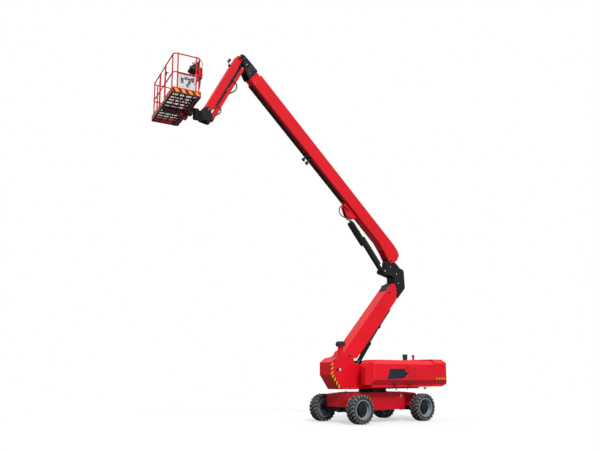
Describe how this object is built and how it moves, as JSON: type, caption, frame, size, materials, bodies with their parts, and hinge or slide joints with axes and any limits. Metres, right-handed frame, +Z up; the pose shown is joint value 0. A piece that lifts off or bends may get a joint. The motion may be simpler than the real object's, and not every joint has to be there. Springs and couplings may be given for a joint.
{
  "type": "articulating boom lift",
  "caption": "Self-propelled articulating boom lift with slewing turret, riser, telescopic boom, jib and railed work platform.",
  "frame": {"origin": "on the ground under the middle of the length and width of the machine as it stands", "axes": "+X forward, towards the steered wheels and the platform; +Y to the left; +Z up"},
  "size_m": [11.6106, 2.61, 12.5336],
  "materials": {
    "black_paint": "satin",
    "black_plastic": "matte",
    "cast_block": "matte",
    "hood_plastic": "gloss",
    "panel_grey": "satin",
    "red_paint": "gloss",
    "rim": "satin",
    "rod_chrome": "polished",
    "tank_plastic": "matte",
    "tyre": "matte"
  },
  "bodies": {
    "chassis": {"chassis_frame": "red_paint", "axle_front": "black_paint", "axle_rear": "black_paint", "slew_bearing": "black_paint"},
    "knuckle_left": {"knuckle_left": "black_paint"},
    "knuckle_right": {"knuckle_right": "black_paint"},
    "tie_rod": {"tie_rod": "black_paint"},
    "wheel_front_left": {"rim_front_left": "rim", "tyre_front_left": "tyre"},
    "wheel_front_right": {"rim_front_right": "rim", "tyre_front_right": "tyre"},
    "wheel_rear_left": {"rim_rear_left": "rim", "tyre_rear_left": "tyre"},
    "wheel_rear_right": {"rim_rear_right": "rim", "tyre_rear_right": "tyre"},
    "turret": {"turntable": "red_paint", "counterweight": "red_paint", "engine_block": "cast_block", "tank": "tank_plastic", "slew_drive": "black_paint", "tower_housing": "black_plastic", "exhaust": "black_paint"},
    "hood_left": {"hood_left": "hood_plastic"},
    "hood_right": {"hood_right": "hood_plastic"},
    "riser": {"riser": "red_paint"},
    "riser_barrel": {"riser_cyl_barrel": "black_paint"},
    "riser_rod": {"riser_cyl_rod": "rod_chrome"},
    "link": {"knuckle_link": "black_paint"},
    "boom": {"boom_base": "red_paint"},
    "lift_barrel": {"lift_cyl_barrel": "black_paint"},
    "lift_rod": {"lift_cyl_rod": "rod_chrome", "lift_guard": "black_paint"},
    "fly": {"boom_fly": "red_paint", "boom_nose": "black_paint"},
    "jib_head": {"jib_head": "black_paint"},
    "jib": {"jib_beam": "red_paint"},
    "jib_link": {"jib_link": "red_paint"},
    "jib_barrel": {"jib_cyl_barrel": "black_paint"},
    "jib_rod": {"jib_cyl_rod": "rod_chrome"},
    "jib_end": {"jib_end": "black_paint"},
    "platform": {"platform_floor": "red_paint", "toe_boards": "red_paint", "platform_rails": "red_paint", "console": "black_plastic", "end_panel": "panel_grey"},
    "gate": {"gate": "red_paint"}
  },
  "joints": [
    {"name": "slew", "type": "hinge", "parent": "chassis", "child": "turret", "pos_m": [-2.97327, 0, 1.174], "axis": [0, 0, 1], "continuous": true},
    {"name": "steer_left", "type": "hinge", "parent": "chassis", "child": "knuckle_left", "pos_m": [-1.44827, 0.78, 0.5], "axis": [0, 0, 1], "range_deg": [-35, 35]},
    {"name": "steer_right", "type": "hinge", "parent": "chassis", "child": "knuckle_right", "pos_m": [-1.44827, -0.78, 0.5], "axis": [0, 0, 1], "range_deg": [-36, 36]},
    {"name": "tie_rod_pivot", "type": "hinge", "parent": "knuckle_left", "child": "tie_rod", "pos_m": [-1.66827, 0.78, 0.5], "axis": [0, 0, 1], "range_deg": [-36, 36]},
    {"name": "wheel_front_left_spin", "type": "hinge", "parent": "knuckle_left", "child": "wheel_front_left", "pos_m": [-1.44827, 1.04, 0.5], "axis": [0, 1, 0], "continuous": true},
    {"name": "wheel_front_right_spin", "type": "hinge", "parent": "knuckle_right", "child": "wheel_front_right", "pos_m": [-1.44827, -1.04, 0.5], "axis": [0, 1, 0], "continuous": true},
    {"name": "wheel_rear_left_spin", "type": "hinge", "parent": "chassis", "child": "wheel_rear_left", "pos_m": [-4.49827, 1.04, 0.5], "axis": [0, 1, 0], "continuous": true},
    {"name": "wheel_rear_right_spin", "type": "hinge", "parent": "chassis", "child": "wheel_rear_right", "pos_m": [-4.49827, -1.04, 0.5], "axis": [0, 1, 0], "continuous": true},
    {"name": "hood_left_lid", "type": "hinge", "parent": "turret", "child": "hood_left", "pos_m": [-3.37327, 0.4, 2.195], "axis": [1, 0, 0], "range_deg": [0, 65]},
    {"name": "hood_right_lid", "type": "hinge", "parent": "turret", "child": "hood_right", "pos_m": [-3.37327, -0.4, 2.195], "axis": [-1, 0, 0], "range_deg": [0, 65]},
    {"name": "riser_lift", "type": "hinge", "parent": "turret", "child": "riser", "pos_m": [-1.59327, 0, 2.36], "axis": [0, 1, 0], "range_deg": [-43.5, 21.5]},
    {"name": "riser_cyl_swing", "type": "hinge", "parent": "turret", "child": "riser_barrel", "pos_m": [-1.77327, 0, 1.46], "axis": [0, 1, 0], "range_deg": [-35.27, 17.68]},
    {"name": "riser_cyl_stroke", "type": "slide", "parent": "riser_barrel", "child": "riser_rod", "axis": [-0.6133, 0, 0.7899], "range_m": [-0.5856, 0.291]},
    {"name": "link_level", "type": "hinge", "parent": "riser", "child": "link", "pos_m": [-3.73265, 0, 4.80028], "axis": [0, 1, 0], "range_deg": [-22, 44]},
    {"name": "boom_lift", "type": "hinge", "parent": "link", "child": "boom", "pos_m": [-3.92327, 0, 6.08], "axis": [0, -1, 0], "range_deg": [-40.2, 34.8]},
    {"name": "lift_cyl_swing", "type": "hinge", "parent": "link", "child": "lift_barrel", "pos_m": [-3.57327, 0, 5.63], "axis": [0, -1, 0], "range_deg": [-39.44, 34.21]},
    {"name": "lift_cyl_stroke", "type": "slide", "parent": "lift_barrel", "child": "lift_rod", "axis": [0.6576, 0, 0.7533], "range_m": [-0.373, 0.3233]},
    {"name": "boom_extend", "type": "slide", "parent": "boom", "child": "fly", "axis": [0.7638, 0, 0.6455], "range_m": [0, 5.6]},
    {"name": "jib_head_level", "type": "hinge", "parent": "fly", "child": "jib_head", "pos_m": [2.70798, 0, 12.20755], "axis": [0, -1, 0], "range_deg": [-35.3, 40.7]},
    {"name": "jib_lift", "type": "hinge", "parent": "jib_head", "child": "jib", "pos_m": [2.97673, 0, 12.37], "axis": [0, -1, 0], "range_deg": [-4, 122]},
    {"name": "jib_link_swing", "type": "hinge", "parent": "jib_head", "child": "jib_link", "pos_m": [2.84673, 0, 12.04], "axis": [0, -1, 0], "range_deg": [-4.5, 122.5]},
    {"name": "jib_cyl_swing", "type": "hinge", "parent": "jib_head", "child": "jib_barrel", "pos_m": [2.84673, 0, 12.04], "axis": [0, -1, 0], "range_deg": [-4.22, 113.96]},
    {"name": "jib_cyl_stroke", "type": "slide", "parent": "jib_barrel", "child": "jib_rod", "axis": [0.5161, 0, -0.8565], "range_m": [-0.0237, 0.6348]},
    {"name": "jib_end_level", "type": "hinge", "parent": "jib", "child": "jib_end", "pos_m": [4.12224, 0, 10.21561], "axis": [0, -1, 0], "range_deg": [-122.5, 4.5]},
    {"name": "platform_rotate", "type": "hinge", "parent": "jib_end", "child": "platform", "pos_m": [4.49673, 0, 10.01], "axis": [0, 0, 1], "range_deg": [-81.5, 98.5]},
    {"name": "gate_swing", "type": "hinge", "parent": "platform", "child": "gate", "pos_m": [5.54084, -0.53015, 10.61], "axis": [0, 0, 1], "range_deg": [0, 90]}
  ],
  "couplings": [
    {"joint": "steer_right", "follows": "steer_left", "ratio": 1},
    {"joint": "tie_rod_pivot", "follows": "steer_left", "ratio": -1},
    {"joint": "riser_cyl_swing", "follows": "riser_lift", "ratio": 0.7992},
    {"joint": "riser_cyl_stroke", "follows": "riser_lift", "m_per_rad": 0.7674},
    {"joint": "link_level", "follows": "riser_lift", "ratio": -1},
    {"joint": "lift_cyl_swing", "follows": "boom_lift", "ratio": 0.9686},
    {"joint": "lift_cyl_stroke", "follows": "boom_lift", "m_per_rad": 0.5274},
    {"joint": "jib_head_level", "follows": "boom_lift", "ratio": -1},
    {"joint": "jib_link_swing", "follows": "jib_lift", "ratio": 1},
    {"joint": "jib_cyl_swing", "follows": "jib_lift", "ratio": 0.93},
    {"joint": "jib_cyl_stroke", "follows": "jib_lift", "m_per_rad": 0.2967},
    {"joint": "jib_end_level", "follows": "jib_lift", "ratio": -1}
  ]
}
